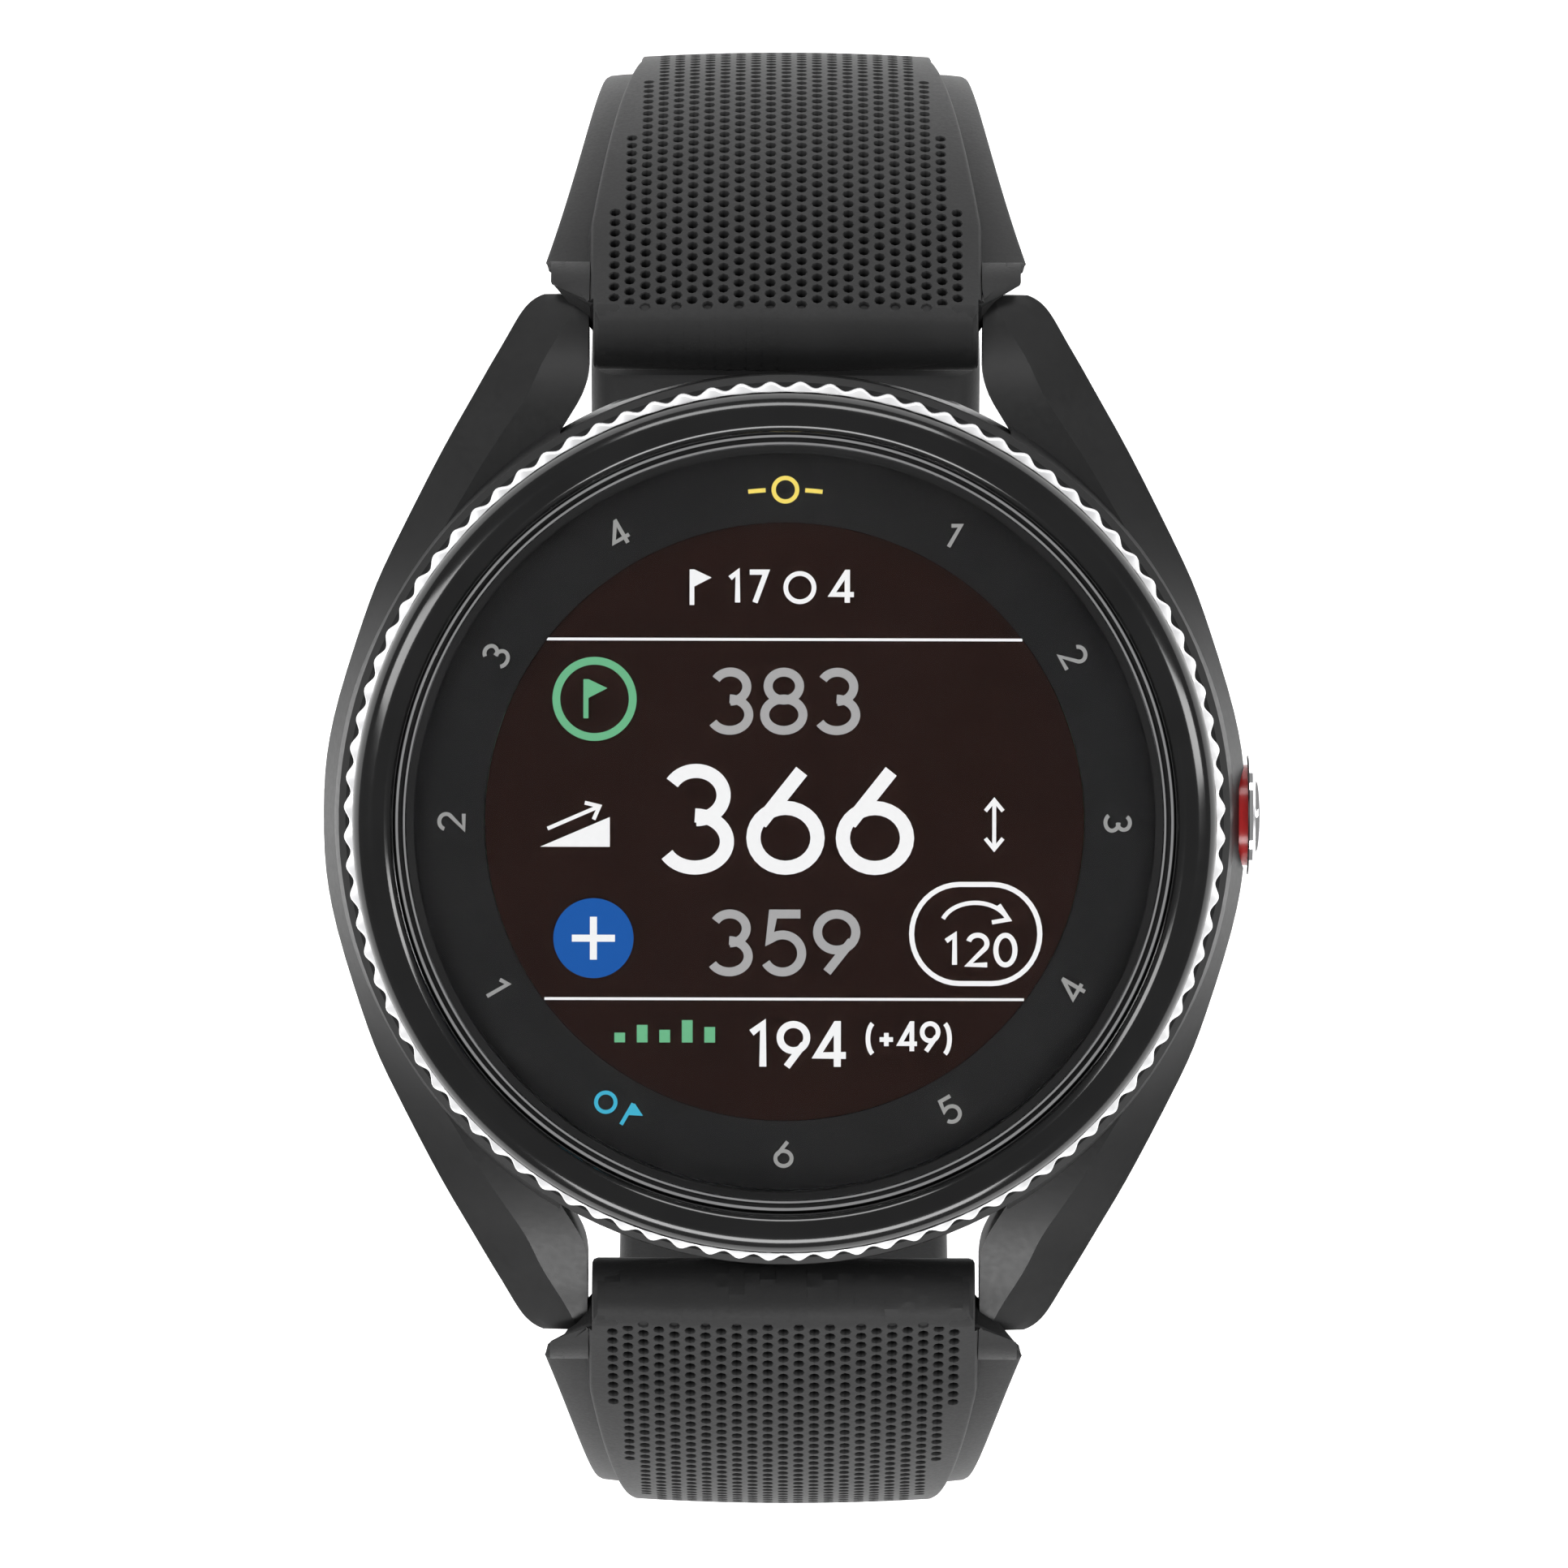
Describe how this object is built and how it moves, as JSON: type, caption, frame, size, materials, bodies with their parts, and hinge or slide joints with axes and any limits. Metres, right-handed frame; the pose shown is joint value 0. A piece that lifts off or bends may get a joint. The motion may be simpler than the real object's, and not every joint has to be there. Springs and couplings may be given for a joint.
{
  "type": "golf gps watch",
  "caption": "Round golf GPS watch with rotating ribbed bezel, side push button and perforated two-piece silicone strap on quick-release spring bars.",
  "frame": {"origin": "centre of the case back's outer flat face", "axes": "+Z out of the display, +Y towards 12 o'clock, +X towards the push button at 3 o'clock; the strap hangs below the case"},
  "size_m": [0.0484, 0.0772, 0.0717],
  "materials": {
    "case_black": "satin black moulded case",
    "back_cover": "fine matte black cover",
    "bezel_gloss": "polished black",
    "chrome_trim": "polished",
    "grip_steel": "polished, ribbed",
    "red_collar": "translucent red",
    "crystal": "clear, coated",
    "screen": "dark display",
    "scale_black": "matte black with printed marks",
    "seal_rubber": "matte",
    "spring_steel": "drawn wire",
    "bar_steel": "turned",
    "strap_silicone": "soft matte silicone",
    "buckle_steel": "dark brushed",
    "board_green": "solder mask",
    "battery_wrap": "film wrap",
    "shield_tin": "tinned",
    "antenna_ceramic": "ceramic",
    "inner_plastic": "moulded",
    "rotor_brass": "turned"
  },
  "bodies": {
    "case": {"mid_case": "case_black", "case_back": "back_cover", "case_screws": "bar_steel", "charging_contacts": "chrome_trim", "contact_block": "inner_plastic", "back_gasket": "seal_rubber", "display_panel": "screen", "display_frame": "inner_plastic", "display_cable": "inner_plastic", "scale_ring": "scale_black", "glass": "crystal", "glass_gasket": "seal_rubber", "trim_ring": "chrome_trim", "bezel_click_spring": "spring_steel", "main_board": "board_green", "battery": "battery_wrap", "battery_pad": "seal_rubber", "shield_can": "shield_tin", "gps_antenna": "antenna_ceramic", "pressure_sensor": "shield_tin", "buzzer": "inner_plastic", "button_switch": "shield_tin", "motor_housing": "shield_tin", "button_tube": "spring_steel", "button_spring": "spring_steel"},
    "bezel": {"bezel_ring": "bezel_gloss", "bezel_grip_ring": "grip_steel"},
    "button": {"button_head": "chrome_trim", "button_collar": "red_collar", "button_stem": "spring_steel", "button_clip": "spring_steel", "button_o_ring": "seal_rubber"},
    "motor": {"motor_rotor": "rotor_brass"},
    "strap_12": {"strap_buckle_half": "strap_silicone", "spring_bar_12_tube": "bar_steel", "spring_bar_12_fixed_tip": "bar_steel", "spring_bar_12_spring": "spring_steel", "keeper_fixed": "strap_silicone"},
    "release_12": {"spring_bar_12_moving_tip": "bar_steel"},
    "strap_6": {"strap_tail_half": "strap_silicone", "spring_bar_6_tube": "bar_steel", "spring_bar_6_fixed_tip": "bar_steel", "spring_bar_6_spring": "spring_steel"},
    "release_6": {"spring_bar_6_moving_tip": "bar_steel"},
    "keeper": {"keeper_sliding": "strap_silicone"},
    "buckle": {"buckle_frame": "buckle_steel", "buckle_bar": "buckle_steel"},
    "tang": {"buckle_tang": "buckle_steel"}
  },
  "joints": [
    {"name": "bezel_turn", "type": "hinge", "parent": "case", "child": "bezel", "pos_m": [0, 0, 0.0122], "axis": [0, 0, 1], "continuous": true},
    {"name": "button_press", "type": "slide", "parent": "case", "child": "button", "axis": [-1, 0, 0], "range_m": [0, 0.00042], "stiffness_N_per_m": 3000, "springref_m": -0.0003, "deforming": ["button_spring"]},
    {"name": "motor_spin", "type": "hinge", "parent": "case", "child": "motor", "pos_m": [0.009, -0.0114, 0.0054], "axis": [0, 0, 1], "continuous": true},
    {"name": "strap_12_swing", "type": "hinge", "parent": "case", "child": "strap_12", "pos_m": [0, 0.0255, 0.0055], "axis": [1, 0, 0], "range_deg": [0, 60]},
    {"name": "strap_6_swing", "type": "hinge", "parent": "case", "child": "strap_6", "pos_m": [0, -0.0255, 0.0055], "axis": [-1, 0, 0], "range_deg": [0, 60]},
    {"name": "release_12_slide", "type": "slide", "parent": "strap_12", "child": "release_12", "axis": [1, 0, 0], "range_m": [0, 0.00125], "stiffness_N_per_m": 800, "springref_m": -0.001, "deforming": ["spring_bar_12_spring"]},
    {"name": "release_6_slide", "type": "slide", "parent": "strap_6", "child": "release_6", "axis": [-1, 0, 0], "range_m": [0, 0.00125], "stiffness_N_per_m": 800, "springref_m": -0.001, "deforming": ["spring_bar_6_spring"]},
    {"name": "keeper_slide", "type": "slide", "parent": "strap_12", "child": "keeper", "axis": [0, -0.8988, -0.4384], "range_m": [-0.0035, 0.0012]},
    {"name": "buckle_swing", "type": "hinge", "parent": "strap_12", "child": "buckle", "pos_m": [0, 0.00706, -0.04976], "axis": [1, 0, 0], "range_deg": [-20, 50]},
    {"name": "tang_swing", "type": "hinge", "parent": "buckle", "child": "tang", "pos_m": [0, 0.00706, -0.04976], "axis": [1, 0, 0], "range_deg": [0, 45]}
  ]
}
